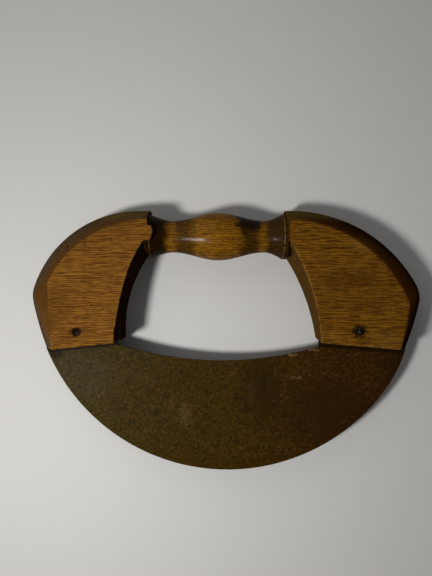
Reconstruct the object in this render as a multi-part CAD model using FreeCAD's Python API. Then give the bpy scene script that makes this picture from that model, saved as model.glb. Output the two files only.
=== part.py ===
import FreeCAD, Part
import math
import os
from collections import namedtuple

# A hand chopping knife: a crescent blade riveted into two wooden arms, which a turned grip bridges.
# It lies flat. X runs along the grip, Y points away from the cutting edge and Z up through the arms.
# Sizes are in millimetres. While modelling, x = 0 is the middle of the blade, y = 0 the inner end of
# the arms' bottom edges and z = 0 the arms' back faces. The finished knife is then centred.

# Blade
EDGE_RADIUS = 119.0       # the round cutting edge
BLADE_REACH = 78.6        # from the arms' bottom edges down to the lowest point of the edge
BLADE_THICKNESS = 2.0
BEVEL_WIDTH = 5.0         # ground on both faces along the edge
EDGE_LAND = 0.3           # thickness left at the edge
SPINE_RADIUS = 208.0      # the hollow back of the crescent
SPINE_DROP = 12.1         # lowest point of the spine, below the arms
SPINE_MIDDLE = -3.5       # x of that point
TANG_HEIGHT = 18.0        # how far the tangs go up into the arms
TANG_ROOT = 15.0          # how far the tangs reach down into the crescent
TANG_SETBACK = 6.0        # tang's outer end, inside the arm's rim
TANG_COVER = 2.5          # wood over the tang's inner edge
BLADE_STEP = 1.2          # how far the blade's ends may stand out past the arms' sides

# Both arms
ARM_THICKNESS = 30.0
ARM_HEIGHT = 78.8         # from the bottom edge's inner end to the top
CORNER_RADIUS = 16.0      # outer corner, at mid-thickness
FACE_CORNER_RADIUS = 6.0  # outer corner of the flat faces
FACE_TOP_DROP = 7.2       # the rim's slope at the top, down to the flat faces
FACE_SIDE_BULGE = 0.9     # rise of the flat faces' outer side
RIM_FULLNESS = 1.6        # 1 is a straight chamfer, higher is rounder
NOSE_DROP = 3.8           # the nose's flat lower edge on the front face, below the grip's axis
BACK_NOSE_DROP = 8.6      # the same edge on the back face
NOSE_TIP_DROP = 13.0      # the tip of the facets under the nose, below the grip's axis
NOSE_ROOT = 5.0           # how far back from the grip's seat those facets start

# Left arm, measured outward from the middle of the blade
LEFT_END = 46.5           # the end that takes the grip
LEFT_LET_IN = 0.8         # how deep the grip is let into it
LEFT_SHOULDER = 53.8      # where the straight top turns into the round shoulder
LEFT_HALF_WIDTH = 118.7   # the outer corner
LEFT_CORNER_HEIGHT = 28.1
LEFT_SIDE_BULGE = 1.0     # rise of the side, from the corner to the bottom
LEFT_SIDE_LEAN = 9.6      # the side's lower end, in from the outer corner
LEFT_OPENING_TOP = 48.7   # the inner edge, where it meets the nose
LEFT_OPENING_BOTTOM = 65.9
LEFT_SAW_SKEW = -1.4      # how much further out the inner edge ends on the back face
LEFT_INNER_RADIUS = 100.0  # the hollow inner edge, on the front face
LEFT_BACK_RADIUS = 80.0   # the same edge on the back face
LEFT_BOTTOM_SLOPE = 6.0   # degrees, down towards the outside
LEFT_FACE_SHOULDER_IN = 7.1
LEFT_FACE_CORNER_IN = 14.7
LEFT_FACE_CORNER_UP = 7.4
LEFT_FACE_BOTTOM_IN = 8.0
LEFT_RIVET_IN = 22.3      # from the side's lower end
LEFT_RIVET_Y = 6.6

# Round-ended tongues of the left arm's flat faces that lap over the grip's end
TONGUE_LENGTH = 3.1       # past the arm's end, at the middle of the tongue
TONGUE_TOP = 2.4          # past the arm's end, along the tongue's upper edge
TONGUE_BOTTOM = 1.3       # past the arm's end, along the nose
TONGUE_RISE = 5.3         # above the grip's axis
TONGUE_THICKNESS = 2.0

# Right arm, measured outward from the middle of the blade
RIGHT_END = 34.4
RIGHT_LET_IN = 1.6
RIGHT_SHOULDER = 38.7
RIGHT_HALF_WIDTH = 117.0
RIGHT_CORNER_HEIGHT = 29.0
RIGHT_SIDE_BULGE = 0.9
RIGHT_SIDE_LEAN = 7.7
RIGHT_OPENING_TOP = 35.5
RIGHT_OPENING_BOTTOM = 53.5
RIGHT_SAW_SKEW = 3.3
RIGHT_INNER_RADIUS = 128.0
RIGHT_BACK_RADIUS = 134.0
RIGHT_BOTTOM_SLOPE = 4.6
RIGHT_FACE_SHOULDER_IN = 6.2
RIGHT_FACE_CORNER_IN = 12.4
RIGHT_FACE_CORNER_UP = -6.4
RIGHT_FACE_BOTTOM_IN = 8.4
RIGHT_RIVET_IN = 33.1
RIGHT_RIVET_Y = 7.2

# Grip
GRIP_BELOW_TOP = 15.7     # its axis, below the arms' top
BELLY_RADIUS = 14.4
NECK_RADIUS = 9.6
LEFT_END_RADIUS = 13.3
RIGHT_END_RADIUS = 13.8
LEFT_LAND = 1.2           # straight rim at the grip's left end
RIGHT_LAND = 3.0
LEFT_NECK = 12.8          # from that rim to the neck
RIGHT_NECK = 10.7
FLARE_FULLNESS = 1.7      # 1 is a straight cone, higher leaves the neck more gently
END_ROUNDING = 0.6        # broken edge of the grip's ends
TENON_RADIUS = 5.5
TENON_LENGTH = 17.5
SOCKET_SPARE = 0.5        # room for glue past the tenon

# Rivets
PIN_RADIUS = 1.6
HEAD_RADIUS = 2.1
HEAD_HEIGHT = 0.55
RECESS_RADIUS = 2.4       # the sunk seat of each peened head
RECESS_DEPTH = 0.8

# Fits: clearance on each side of a tang, tenon, grip end and pin
TANG_FIT = 0.05
TENON_FIT = 0.05
GRIP_FIT = 0.05
PIN_FIT = 0.05

# Modelling aids: levels of the rim from back face to front face, and cuts that run past the wood
RIM_LEVELS = (-1.0, -0.8, -0.5, 0.0, 0.5, 0.8, 1.0)
OVERRUN = 20.0

Arm = namedtuple("Arm", (
    "end let_in grip_radius shoulder half_width corner_height side_bulge side_lean opening_top "
    "opening_bottom saw_skew inner_radius back_radius bottom_slope face_shoulder_in face_corner_in "
    "face_corner_up face_bottom_in rivet_in rivet_y"))

LEFT = Arm(
    LEFT_END, LEFT_LET_IN, LEFT_END_RADIUS, LEFT_SHOULDER, LEFT_HALF_WIDTH, LEFT_CORNER_HEIGHT,
    LEFT_SIDE_BULGE, LEFT_SIDE_LEAN, LEFT_OPENING_TOP, LEFT_OPENING_BOTTOM, LEFT_SAW_SKEW,
    LEFT_INNER_RADIUS, LEFT_BACK_RADIUS, LEFT_BOTTOM_SLOPE, LEFT_FACE_SHOULDER_IN,
    LEFT_FACE_CORNER_IN, LEFT_FACE_CORNER_UP, LEFT_FACE_BOTTOM_IN, LEFT_RIVET_IN, LEFT_RIVET_Y)
RIGHT = Arm(
    RIGHT_END, RIGHT_LET_IN, RIGHT_END_RADIUS, RIGHT_SHOULDER, RIGHT_HALF_WIDTH, RIGHT_CORNER_HEIGHT,
    RIGHT_SIDE_BULGE, RIGHT_SIDE_LEAN, RIGHT_OPENING_TOP, RIGHT_OPENING_BOTTOM, RIGHT_SAW_SKEW,
    RIGHT_INNER_RADIUS, RIGHT_BACK_RADIUS, RIGHT_BOTTOM_SLOPE, RIGHT_FACE_SHOULDER_IN,
    RIGHT_FACE_CORNER_IN, RIGHT_FACE_CORNER_UP, RIGHT_FACE_BOTTOM_IN, RIGHT_RIVET_IN, RIGHT_RIVET_Y)

HALF = ARM_THICKNESS / 2
EDGE_CENTRE_Y = EDGE_RADIUS - BLADE_REACH
GRIP_Y = ARM_HEIGHT - GRIP_BELOW_TOP
LEFT_SEAT = -(LEFT_END + LEFT_LET_IN)
RIGHT_SEAT = RIGHT_END + RIGHT_LET_IN


def point(x, y, z=0.0):
    return FreeCAD.Vector(x, y, z)


def blend(start, end, share):
    return start + (end - start) * share


def mirrored(shape):
    """The left-hand twin of a shape that was modelled with outward as +X."""
    return shape.mirror(point(0, 0), point(1, 0))


# Arcs in the plane of the arms

def arc_on_circle(centre, start, end):
    """The arc from start to end, both on a circle round centre, by way of their mean angle."""
    radius = (start - centre).Length
    first = math.atan2(start.y - centre.y, start.x - centre.x)
    last = math.atan2(end.y - centre.y, end.x - centre.x)
    middle = (first + last) / 2
    halfway = centre + point(radius * math.cos(middle), radius * math.sin(middle))
    return Part.Arc(start, halfway, end).toShape()


def line(start, end):
    return Part.LineSegment(start, end).toShape()


def shoulder_circle(top, corner):
    """Circle that leaves the straight top level at one point and passes through the corner."""
    drop = top.y - corner.y
    radius = ((corner.x - top.x) ** 2 + drop ** 2) / (2 * drop)
    return point(top.x, top.y - radius), radius


def bulged_circle(upper, lower, bulge):
    """Circle through two points of the outer side whose arc rises by bulge outward."""
    chord = upper - lower
    radius = (chord.Length ** 2 / 4 + bulge ** 2) / (2 * bulge)
    outward = point(chord.y, -chord.x) / chord.Length
    return (upper + lower) / 2 - outward * (radius - bulge), radius


def rounding_centre(first, first_radius, second, second_radius, radius, corner):
    """Centre of the rounding that touches two circles from inside, next to their corner."""
    reach_a = first_radius - radius
    reach_b = second_radius - radius
    between = second - first
    along = (reach_a ** 2 - reach_b ** 2 + between.Length ** 2) / (2 * between.Length)
    across = math.sqrt(reach_a ** 2 - along ** 2)
    unit = between / between.Length
    foot = first + unit * along
    candidates = [foot + point(-unit.y, unit.x) * side * across for side in (1, -1)]
    return min(candidates, key=lambda centre: (centre - corner).Length)


def touching(circle, radius, inner):
    """Point where a rounding with its centre at inner touches the circle."""
    outward = inner - circle
    return circle + outward * (radius / outward.Length)


# Wooden arms, each modelled with outward as +X

def side_end(arm):
    """Lower end of the side, where it meets the sloping bottom edge."""
    x = arm.half_width - arm.side_lean
    slope = math.tan(math.radians(arm.bottom_slope))
    return point(x, -slope * (x - arm.opening_bottom))


def rivet_place(arm):
    return side_end(arm).x - arm.rivet_in, arm.rivet_y


def rim_section(arm, level):
    """Closed outline of the rounded rim at one level: 0 is mid-thickness, 1 or -1 a flat face."""
    share = abs(level) ** RIM_FULLNESS
    top = point(arm.shoulder - arm.face_shoulder_in * share, ARM_HEIGHT - FACE_TOP_DROP * share)
    corner = point(arm.half_width - arm.face_corner_in * share,
                   arm.corner_height + arm.face_corner_up * share)
    bottom = side_end(arm) - point(arm.face_bottom_in * share, 0)
    upper, upper_radius = shoulder_circle(top, corner)
    side, side_radius = bulged_circle(corner, bottom, blend(arm.side_bulge, FACE_SIDE_BULGE, share))
    rounding = rounding_centre(upper, upper_radius, side, side_radius,
                               blend(CORNER_RADIUS, FACE_CORNER_RADIUS, share), corner)
    leave = touching(upper, upper_radius, rounding)
    join = touching(side, side_radius, rounding)
    turn = math.atan2(bottom.y - side.y, bottom.x - side.x) - OVERRUN / side_radius
    low = side + point(side_radius * math.cos(turn), side_radius * math.sin(turn))
    inner_x = arm.end - OVERRUN
    edges = [
        line(point(inner_x, top.y), top),
        arc_on_circle(upper, top, leave),
        arc_on_circle(rounding, leave, join),
        arc_on_circle(side, join, low),
        line(low, point(inner_x, low.y)),
        line(point(inner_x, low.y), point(inner_x, top.y)),
    ]
    section = Part.Wire(edges)
    section.translate(point(0, 0, HALF * (1 + level)))
    return section


def sawn_section(arm, skew, radius, nose_drop, z):
    """Outline of the arm's sawn faces on one flat face: bottom, hollow inner edge, nose and end."""
    slope = math.tan(math.radians(arm.bottom_slope))
    far = arm.half_width + OVERRUN
    over = ARM_HEIGHT + OVERRUN
    far_low = point(far, -slope * (far - arm.opening_bottom), z)
    inner_low = point(arm.opening_bottom + skew, -slope * skew, z)
    inner_high = point(arm.opening_top, GRIP_Y - nose_drop, z)
    chord = inner_high - inner_low
    rise = radius - math.sqrt(radius ** 2 - chord.Length ** 2 / 4)
    into_wood = point(chord.y, -chord.x) / chord.Length
    hollow = (inner_low + inner_high) / 2 + into_wood * rise
    nose = point(arm.end, inner_high.y, z)
    edges = [
        line(far_low, inner_low),
        Part.Arc(inner_low, hollow, inner_high).toShape(),
        line(inner_high, nose),
        line(nose, point(arm.end, over, z)),
        line(point(arm.end, over, z), point(far, over, z)),
        line(point(far, over, z), far_low),
    ]
    return Part.Wire(edges)


def sawn_outline(arm):
    """Solid between the sawn outlines of the back and the front face."""
    back = sawn_section(arm, arm.saw_skew, arm.back_radius, BACK_NOSE_DROP, 0)
    front = sawn_section(arm, 0, arm.inner_radius, NOSE_DROP, ARM_THICKNESS)
    return Part.makeLoft([back, front], True, True)


def nose_facets(arm):
    """Wedge under the nose whose facets run down to a tip at mid-thickness."""
    y = GRIP_Y - NOSE_DROP
    seat = arm.end + arm.let_in
    root = seat + NOSE_ROOT
    base = Part.makePolygon([
        point(seat, y, 0), point(root, y, 0), point(root, y, ARM_THICKNESS),
        point(seat, y, ARM_THICKNESS), point(seat, y, 0)])
    tip = Part.Vertex(point(seat, GRIP_Y - NOSE_TIP_DROP, HALF))
    return Part.makeLoft([base, tip], True, True)


def tongues(arm):
    """Thin tongues of the front and back faces that reach past the arm's end."""
    low = GRIP_Y - NOSE_DROP
    high = GRIP_Y + TONGUE_RISE
    root = arm.end + arm.let_in
    top = point(arm.end - TONGUE_TOP, high)
    full = point(arm.end - TONGUE_LENGTH, (low + high) / 2)
    bottom = point(arm.end - TONGUE_BOTTOM, low)
    outline = Part.Wire([
        line(point(root, high), top), Part.Arc(top, full, bottom).toShape(),
        line(bottom, point(root, low)), line(point(root, low), point(root, high))])
    plate = Part.Face(outline).extrude(point(0, 0, TONGUE_THICKNESS))
    return [plate.translated(point(0, 0, z)) for z in (0, ARM_THICKNESS - TONGUE_THICKNESS)]


def along_grip(radius, start, length):
    """Round bar on the grip's axis."""
    return Part.makeCylinder(radius, length, point(start, GRIP_Y, HALF), point(1, 0))


def upright(radius, x, y, bottom, top):
    """Round bar along Z."""
    return Part.makeCylinder(radius, top - bottom, point(x, y, bottom))


def arm_solid(arm, laps):
    """One arm. laps are pieces of its faces that reach past its end."""
    blank = Part.makeLoft([rim_section(arm, level) for level in RIM_LEVELS], True, False)
    wood = blank.common(sawn_outline(arm)).fuse([nose_facets(arm)] + laps).removeSplitter()
    kerf_half = BLADE_THICKNESS / 2 + TANG_FIT
    kerf = Part.makeBox(arm.half_width + OVERRUN, TANG_HEIGHT + TANG_FIT + OVERRUN, 2 * kerf_half,
                        point(0, -OVERRUN, HALF - kerf_half))
    socket_depth = arm.let_in + TENON_LENGTH + SOCKET_SPARE
    rivet = rivet_place(arm)
    cuts = [
        kerf,
        along_grip(arm.grip_radius + GRIP_FIT, arm.end - OVERRUN, OVERRUN + arm.let_in),
        along_grip(TENON_RADIUS + TENON_FIT, arm.end, socket_depth),
        upright(PIN_RADIUS + PIN_FIT, *rivet, -OVERRUN, ARM_THICKNESS + OVERRUN),
        upright(RECESS_RADIUS, *rivet, -OVERRUN, RECESS_DEPTH),
        upright(RECESS_RADIUS, *rivet, ARM_THICKNESS - RECESS_DEPTH, ARM_THICKNESS + OVERRUN),
    ]
    return wood.cut(cuts)


# Steel blade

def past_end(arm):
    """All that lies further out than the blade's end, modelled with outward as +X."""
    return Part.makeBox(EDGE_RADIUS, 2 * EDGE_RADIUS, ARM_THICKNESS,
                        point(side_end(arm).x + BLADE_STEP, EDGE_CENTRE_Y - EDGE_RADIUS, 0))


def crescent():
    """Round plate with a bevelled edge, cut hollow by the spine and cut off under the arms' sides."""
    half = BLADE_THICKNESS / 2
    land = EDGE_LAND / 2
    inner = EDGE_RADIUS - BEVEL_WIDTH
    profile = Part.makePolygon([
        point(0, 0, -half), point(inner, 0, -half), point(EDGE_RADIUS, 0, -land),
        point(EDGE_RADIUS, 0, land), point(inner, 0, half), point(0, 0, half), point(0, 0, -half)])
    plate = Part.Face(profile).revolve(point(0, 0), point(0, 0, 1), 360)
    plate.translate(point(0, EDGE_CENTRE_Y, HALF))
    hollow = upright(SPINE_RADIUS, SPINE_MIDDLE, SPINE_RADIUS - SPINE_DROP, 0, ARM_THICKNESS)
    return plate.cut([hollow, sawn_outline(RIGHT), mirrored(sawn_outline(LEFT)),
                      past_end(RIGHT), mirrored(past_end(LEFT))])


def tang(arm):
    """Plate that goes up into the kerf, with its rivet hole, modelled with outward as +X."""
    low = HALF - BLADE_THICKNESS / 2
    start = arm.opening_bottom + TANG_COVER
    root = Part.makeBox(EDGE_RADIUS, TANG_ROOT, BLADE_THICKNESS, point(start, -TANG_ROOT, low))
    strip = Part.makeBox(EDGE_RADIUS, TANG_ROOT + TANG_HEIGHT, BLADE_THICKNESS,
                         point(start + arm.saw_skew / 2, -TANG_ROOT, low))
    disc = upright(EDGE_RADIUS - BEVEL_WIDTH, 0, EDGE_CENTRE_Y, 0, ARM_THICKNESS)
    rim = Part.Face(rim_section(arm, 0))
    rim.translate(point(-TANG_SETBACK, 0, -HALF))
    inside = rim.extrude(point(0, 0, ARM_THICKNESS))
    hole = upright(PIN_RADIUS + PIN_FIT, *rivet_place(arm), 0, ARM_THICKNESS)
    return root.fuse(strip).common(disc).common(inside).cut(hole)


def blade_solid():
    return crescent().fuse([tang(RIGHT), mirrored(tang(LEFT))]).removeSplitter()


# Turned grip

def grip_profile():
    """Points of the turned outline between the straight rims: flare, neck, belly, neck, flare."""
    left_neck = LEFT_SEAT + LEFT_LAND + LEFT_NECK
    right_neck = RIGHT_SEAT - RIGHT_LAND - RIGHT_NECK
    middle = (left_neck + right_neck) / 2
    half_span = (right_neck - left_neck) / 2
    points = []
    for share in (1.0, 0.75, 0.5, 0.25):
        flare = (LEFT_END_RADIUS - NECK_RADIUS) * share ** FLARE_FULLNESS
        points.append((left_neck - LEFT_NECK * share, NECK_RADIUS + flare))
    for share in (-1.0, -0.75, -0.5, -0.25, 0.0, 0.25, 0.5, 0.75, 1.0):
        swell = (BELLY_RADIUS - NECK_RADIUS) * (1 + math.cos(math.pi * share)) / 2
        points.append((middle + half_span * share, NECK_RADIUS + swell))
    for share in (0.25, 0.5, 0.75, 1.0):
        flare = (RIGHT_END_RADIUS - NECK_RADIUS) * share ** FLARE_FULLNESS
        points.append((right_neck + RIGHT_NECK * share, NECK_RADIUS + flare))
    return [point(x, GRIP_Y + radius, HALF) for x, radius in points]


def grip_solid():
    outline = grip_profile()
    curve = Part.BSplineCurve()
    curve.interpolate(outline)
    left_axis = point(LEFT_SEAT, GRIP_Y, HALF)
    right_axis = point(RIGHT_SEAT, GRIP_Y, HALF)
    left_rim = outline[0] - point(LEFT_LAND, 0)
    right_rim = outline[-1] + point(RIGHT_LAND, 0)
    wire = Part.Wire([
        curve.toShape(), line(outline[-1], right_rim), line(right_rim, right_axis),
        line(right_axis, left_axis), line(left_axis, left_rim), line(left_rim, outline[0])])
    turned = Part.Face(wire).revolve(left_axis, point(1, 0), 360)
    rims = [edge for edge in turned.Edges if edge.Length > math.pi * NECK_RADIUS
            and min(abs(edge.CenterOfMass.x - seat) for seat in (LEFT_SEAT, RIGHT_SEAT)) < GRIP_FIT]
    turned = turned.makeChamfer(END_ROUNDING, rims)
    length = RIGHT_SEAT - LEFT_SEAT + 2 * TENON_LENGTH
    return turned.fuse(along_grip(TENON_RADIUS, LEFT_SEAT - TENON_LENGTH, length)).removeSplitter()


# Iron rivets

def rivet_solid(arm):
    """Pin with a low peened dome at each end, sunk below the arm's faces."""
    floor = RECESS_DEPTH
    ceiling = ARM_THICKNESS - RECESS_DEPTH
    dome_radius = (HEAD_RADIUS ** 2 + HEAD_HEIGHT ** 2) / (2 * HEAD_HEIGHT)
    x, y = rivet_place(arm)
    pin = upright(PIN_RADIUS, x, y, floor, ceiling)
    heads = []
    for seat, outward in ((floor, -1), (ceiling, 1)):
        centre = point(x, y, seat + outward * (HEAD_HEIGHT - dome_radius))
        low, high = sorted((seat, seat + outward * HEAD_HEIGHT))
        heads.append(Part.makeSphere(dome_radius, centre).common(
            upright(RECESS_RADIUS, x, y, low, high)))
    return pin.fuse(heads).removeSplitter()


def main():
    pieces = {
        "blade": blade_solid(),
        "left_arm": mirrored(arm_solid(LEFT, tongues(LEFT))),
        "right_arm": arm_solid(RIGHT, []),
        "handle": grip_solid(),
        "left_rivet": mirrored(rivet_solid(LEFT)),
        "right_rivet": rivet_solid(RIGHT),
    }
    box = Part.makeCompound(list(pieces.values())).optimalBoundingBox()
    centring = point(-(box.XMin + box.XMax) / 2, -(box.YMin + box.YMax) / 2, -box.ZMin)
    os.makedirs("parts", exist_ok=True)
    for name, shape in pieces.items():
        solid = shape.Solids[0]
        solid.translate(centring)
        solid.exportStep("parts/" + name + ".step")
        size = solid.optimalBoundingBox()
        print(name, len(shape.Solids), "solid", "valid" if solid.isValid() else "NOT VALID",
              "%.1f x %.1f x %.1f" % (size.XLength, size.YLength, size.ZLength),
              "volume %.0f" % solid.Volume)
    print("whole %.1f x %.1f x %.1f" % (box.XLength, box.YLength, box.ZLength),
          "moved by %.2f %.2f %.2f" % tuple(centring))


main()
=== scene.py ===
"""Dresses a hand chopping knife: worn wooden arms, a turned grip, a patinated blade and iron rivets."""

import math
import random

import bpy
import numpy as np
from bpy.props import FloatProperty, FloatVectorProperty, IntProperty, PointerProperty
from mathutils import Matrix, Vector, noise


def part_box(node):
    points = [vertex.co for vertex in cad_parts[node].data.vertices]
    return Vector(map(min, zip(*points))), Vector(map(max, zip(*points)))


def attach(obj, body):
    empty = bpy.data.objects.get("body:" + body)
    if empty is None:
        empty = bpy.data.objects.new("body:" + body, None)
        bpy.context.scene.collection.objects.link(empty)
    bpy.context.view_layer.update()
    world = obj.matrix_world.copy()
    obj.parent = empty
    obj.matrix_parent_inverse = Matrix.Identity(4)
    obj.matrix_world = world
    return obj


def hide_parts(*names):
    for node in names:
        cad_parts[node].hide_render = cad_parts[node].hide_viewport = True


bl_info = {
    "name": "Chopping Knife Dresser",
    "version": (1, 0, 0),
    "blender": (4, 5, 0),
    "location": "View3D > Sidebar > Chopper",
    "description": "Models the worn pieces of a hand chopping knife around its CAD frame",
    "category": "Object",
}

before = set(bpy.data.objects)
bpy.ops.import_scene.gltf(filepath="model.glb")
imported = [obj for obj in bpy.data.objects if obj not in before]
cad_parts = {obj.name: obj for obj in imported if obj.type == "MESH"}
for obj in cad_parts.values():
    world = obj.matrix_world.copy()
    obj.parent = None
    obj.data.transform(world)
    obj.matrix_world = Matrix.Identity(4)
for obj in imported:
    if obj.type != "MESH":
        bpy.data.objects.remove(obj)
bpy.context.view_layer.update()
BLADE_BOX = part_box("blade")
GRIP_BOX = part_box("handle")
ARM_BOXES = {"left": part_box("left_arm"), "right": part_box("right_arm")}
RIVET_BOXES = {"left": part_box("left_rivet"), "right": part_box("right_rivet")}

MM = 0.001


def in_mm(*sizes):
    """Sizes given in millimetres, as metres."""
    return tuple(size * MM for size in sizes)


SIDES = ("left", "right")
MERGE_REACH = 0.002 * MM
SMOOTHING = 0.5
NEAREST = 10 * MM

# Point attributes for edges that stand out and corners that lie in
ARRIS = "arris"
CREASE = "crease"

# Dents: range of their radius, depth and shortness along X
DENT_RADIUS = in_mm(0.8, 2.6)
DENT_DEPTH = (0.3, 1.0)
DENT_SQUEEZE = (0.4, 1.0)

# Edges: rounds of smoothing that they are measured against, and height of a full edge
ARM_EDGES = (8, 0.30 * MM)
GRIP_EDGES = (4, 0.12 * MM)
RIVET_EDGES = (4, 0.1 * MM)

# Arms: how unevenly the edges are worn, and how little at the least
ARM_SEED = 1
WEAR_MEAN = 0.75
WEAR_SWING = 0.5
WEAR_SPACING = 14 * MM
WEAR_LEAST = 0.15
ARM_WAVE_SPACING = 11 * MM

# Arms: distance from each place at which the wear begins and at which it is full
SAWN_FADE = in_mm(4, 10)
BOTTOM_FADE = in_mm(0, 6)
KERF_FADE = in_mm(5, 9)
RIVET_FADE = in_mm(4, 6)
NOSE_FADE = in_mm(0.5, 3)
HANDLED_FADE = in_mm(8, 12)

# Arms: the worn corner, and the fill as shares of the inner edge's height and as distances from it
CORNER_X = in_mm(82, 102)
CORNER_Y = in_mm(24, -4)
FILL_PEAK = 0.42
FILL_SPREAD = 0.50
FILL_FADE = in_mm(20, 5)

# Grip: its wear, and the points along its outline
GRIP_SEED = 5
GRIP_WAVE_SPACING = 8 * MM
GRIP_RIM_FADE = in_mm(0.5, 0.2)
FLARE_POINTS = 25
BELLY_POINTS = 97
RIM_POINTS = 6

# Blade: rows that crowd towards the edge, nicks, bends below the arms, ground tip and holes
ROW_CROWDING = 1.6
NICK_SEED = 7
NICK_SPACING = 2.6 * MM
NICK_LEVEL = 0.35
BEND_SEED = 9
BEND_SPACING = 30 * MM
BEND_Y = in_mm(-3, -23)
TIP_START = 0.90
HOLE_SIDES = 48
SHARP_ANGLE = math.radians(15)

# Rivets
RIVET_SEED = 11
RIVET_ROUNDING = 3
HAMMER_SPACING = 1.1 * MM

# Grain: scale for one line per length, share of lines in the figure, pores' level and edge, fineness
WAVE_PERIOD = math.tau / 20
LINE_SHARE = 0.40
PORE_LEVEL = 0.74
PORE_EDGE = 0.10
FIBRE_SHARE = 0.45
ARM_PORE_COVER = 0.19
GRIP_PORE_COVER = 0.15

# Lengths of the patterns along X, Y and Z
ARM_FIGURE = in_mm(11, 1.3, 1.3)
ARM_PORE = in_mm(4.5, 0.45, 0.45)
ARM_TONE = in_mm(34, 13, 13)
ARM_SPECK = in_mm(1.1, 0.7, 0.7)
GRIP_FIGURE = in_mm(8, 1.5, 1.5)
GRIP_PORE = in_mm(4, 0.5, 0.5)
GRIP_WANDER = in_mm(5, 7, 7)
BLADE_BROAD = in_mm(40, 26, 26)
BLADE_MOTTLE = in_mm(5, 4, 4)
BLADE_GRIT = in_mm(1.4, 1.4, 1.4)
RIVET_CRUST = in_mm(2.0, 2.0, 2.0)

# Crumbs of the edge wear, and depth of each relief
ARM_WEAR = 3.2 * MM
GRIP_WEAR = 2.4 * MM
RIVET_WEAR = 0.8 * MM
ARM_RELIEF = 0.10 * MM
GRIP_RELIEF = 0.05 * MM
BLADE_RELIEF = 0.05 * MM
RIVET_RELIEF = 0.10 * MM

# Spots: how deep they go, and how ragged they are with which crumbs
MARK_DEPTH = 40 * MM
MARK_FRAY = (1.3, 7 * MM)
STAIN_RUN = 0.2
STAIN_DEPTH = 60 * MM
STAIN_FRAY = (1.4, 2.2 * MM)
FRECKLE_DEPTH = 20 * MM
FRECKLE_FRAY = (1.5, 2.0 * MM)
SHADE_X = 13 * MM
SHADE_OFF_AXIS = 8 * MM
SHADE_REACH = in_mm(10, 10, 10)
SHADE_FRAY = (1.2, 4 * MM)

# Where the arms' surface counts as sawn, rim or band, by its direction
SAWN_TURN = (0.35, 0.65)
RIM_TURN = (0.78, 0.56)
BAND_TURN = (0.995, 0.90)

# Heights between which the arms' colour changes, and how much it covers; the paler tops next to the grip
# are painted light
BAND_Y = in_mm(4, 30)
BAND_COVER = 0.75
RIM_Y = in_mm(55, 78)
RIM_COVER = (0.85, 0.40)
LIT_TOP_Y = in_mm(69, 76)
LIT_TOP_COVER = 0.85

# Grip's dark bands and the blade's patina with its painted sheen at the left end: edges, and how far they
# wander
GRIP_BAND_EDGE = 3 * MM
GRIP_WANDER_REACH = 8 * MM
GREY_AND_SHEEN_X = in_mm(-25, -85)
DUSKY_X = in_mm(10, 80)
PATINA_WANDER = 110 * MM
SEAM_WANDER = 1.2 * MM

# What is the same all over a surface
ARM_PLAIN = {"Specular IOR Level": 0.0}
GRIP_PLAIN = {"Specular IOR Level": 0.03, "Coat Roughness": 0.20}
BLADE_PLAIN = {"Metallic": 0.04, "Specular IOR Level": 0.03}
RIVET_PLAIN = {"Metallic": 0.30, "Specular IOR Level": 0.10}
FLOOR_PLAIN = {"Roughness": 0.9, "Specular IOR Level": 0.1}


def centre(box):
    """Middle of a box."""
    return tuple((low + high) / 2 for low, high in zip(*box))


_, GRIP_AXIS_Y, GRIP_AXIS_Z = centre(GRIP_BOX)
GRIP_BELLY = (GRIP_BOX[1].y - GRIP_BOX[0].y) / 2
BLADE_MIDDLE_Z = centre(BLADE_BOX)[2]
BLADE_THICKNESS = BLADE_BOX[1].z - BLADE_BOX[0].z
DRILL_LENGTH = 4 * BLADE_THICKNESS


def linear(value):
    """Scene-linear value of a display value from 0 to 255."""
    part = value / 255
    return part / 12.92 if part <= 0.04045 else ((part + 0.055) / 1.055) ** 2.4


def length(name, description, default, **limits):
    """A size in metres that a user may change."""
    return FloatProperty(name=name, description=description, default=default, subtype="DISTANCE",
                         unit="LENGTH", precision=5, **limits)


def colour(name, description, red, green, blue):
    """A colour given in display values from 0 to 255, kept as scene linear."""
    return FloatVectorProperty(name=name, description=description, size=3, min=0.0, max=1.0,
                               default=[linear(value) for value in (red, green, blue)], subtype="COLOR")


def cover(name, description, default):
    """How much of a surface something covers, from 0 to 1."""
    return FloatProperty(name=name, description=description, default=default, min=0.0, max=1.0,
                         subtype="FACTOR")


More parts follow.
